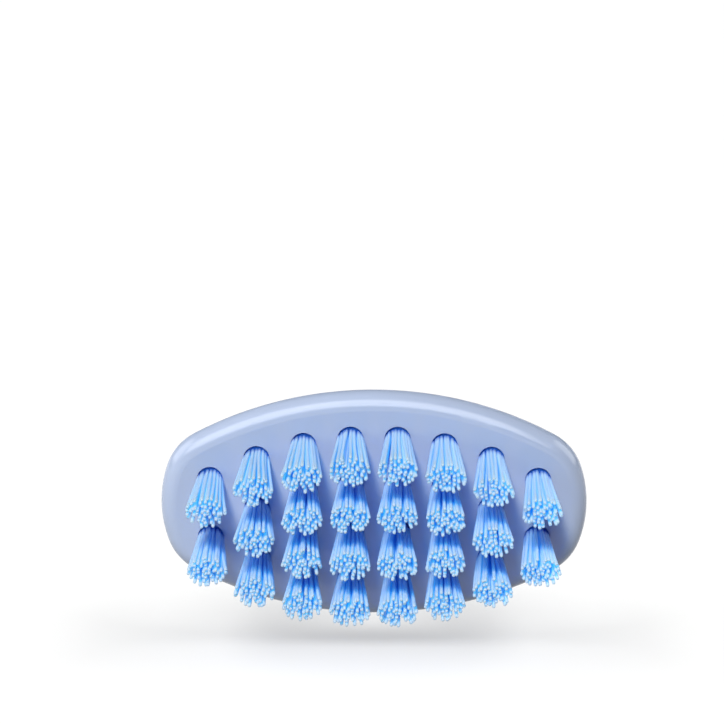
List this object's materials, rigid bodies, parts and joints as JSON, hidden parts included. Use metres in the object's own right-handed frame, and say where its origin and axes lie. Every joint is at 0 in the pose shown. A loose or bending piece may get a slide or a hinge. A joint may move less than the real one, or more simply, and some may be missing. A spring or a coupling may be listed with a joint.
{
  "type": "electric toothbrush head",
  "caption": "Oval electric toothbrush head: a moulded carrier with flared bristle tufts on its face and a short hub with a drive socket at its back.",
  "frame": {"origin": "on the drive socket's axis, where the socket's round wall begins just inside the mouth of the hub", "axes": "+X along the head, +Y along the socket's axis and out of its mouth with the bristles towards -Y, +Z across the head"},
  "size_m": [0.0286, 0.0164, 0.016],
  "materials": {
    "head_plastic": "moulded lavender-blue plastic with a soft gloss",
    "bristle_nylon": "blue nylon filaments with rounded, paler tips",
    "anchor_metal": "cut flat wire"
  },
  "bodies": {
    "root": {"head_body": "head_plastic", "tuft_anchors": "anchor_metal", "tuft_col1_row1": "bristle_nylon", "tuft_col1_row2": "bristle_nylon", "tuft_col2_row1": "bristle_nylon", "tuft_col2_row2": "bristle_nylon", "tuft_col2_row3": "bristle_nylon", "tuft_col3_row1": "bristle_nylon", "tuft_col3_row2": "bristle_nylon", "tuft_col3_row3": "bristle_nylon", "tuft_col3_row4": "bristle_nylon", "tuft_col4_row1": "bristle_nylon", "tuft_col4_row2": "bristle_nylon", "tuft_col4_row3": "bristle_nylon", "tuft_col4_row4": "bristle_nylon", "tuft_col5_row1": "bristle_nylon", "tuft_col5_row2": "bristle_nylon", "tuft_col5_row3": "bristle_nylon", "tuft_col5_row4": "bristle_nylon", "tuft_col6_row1": "bristle_nylon", "tuft_col6_row2": "bristle_nylon", "tuft_col6_row3": "bristle_nylon", "tuft_col6_row4": "bristle_nylon", "tuft_col7_row1": "bristle_nylon", "tuft_col7_row2": "bristle_nylon", "tuft_col7_row3": "bristle_nylon", "tuft_col8_row1": "bristle_nylon", "tuft_col8_row2": "bristle_nylon"}
  },
  "joints": []
}
